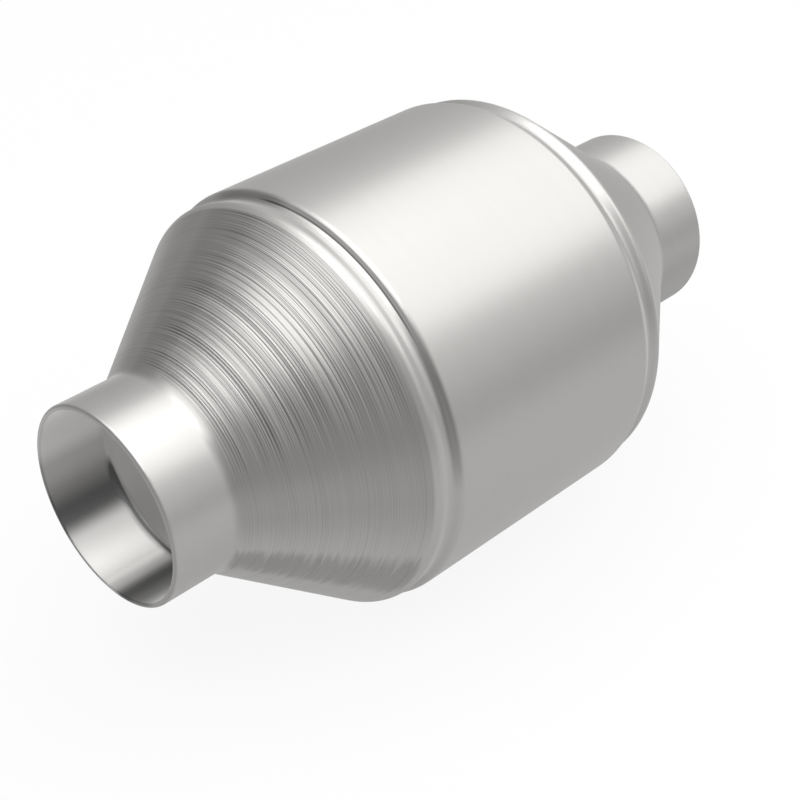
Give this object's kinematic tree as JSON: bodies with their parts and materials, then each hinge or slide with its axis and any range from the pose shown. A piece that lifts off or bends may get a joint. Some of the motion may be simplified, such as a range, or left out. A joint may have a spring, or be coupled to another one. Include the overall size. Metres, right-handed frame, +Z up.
{
  "type": "catalytic converter",
  "caption": "Round stainless steel exhaust catalytic converter: a spun body with a cone and pipe neck at each end, around a ceramic honeycomb held by a fibre mat.",
  "frame": {"origin": "middle of the converter, on its axis", "axes": "+X along the axis in the direction of the gas, from the inlet mouth to the outlet mouth; +Z up"},
  "size_m": [0.226, 0.13, 0.13],
  "materials": {
    "shell_steel": "satin, with circular spinning marks on the cones",
    "coated_ceramic": "matt, porous",
    "mat_fibre": "matt, felted",
    "knitted_wire": "knitted fine wire"
  },
  "bodies": {
    "root": {"shell": "shell_steel", "substrate": "coated_ceramic", "support_mat": "mat_fibre", "inlet_seal": "knitted_wire", "outlet_seal": "knitted_wire"}
  },
  "joints": []
}
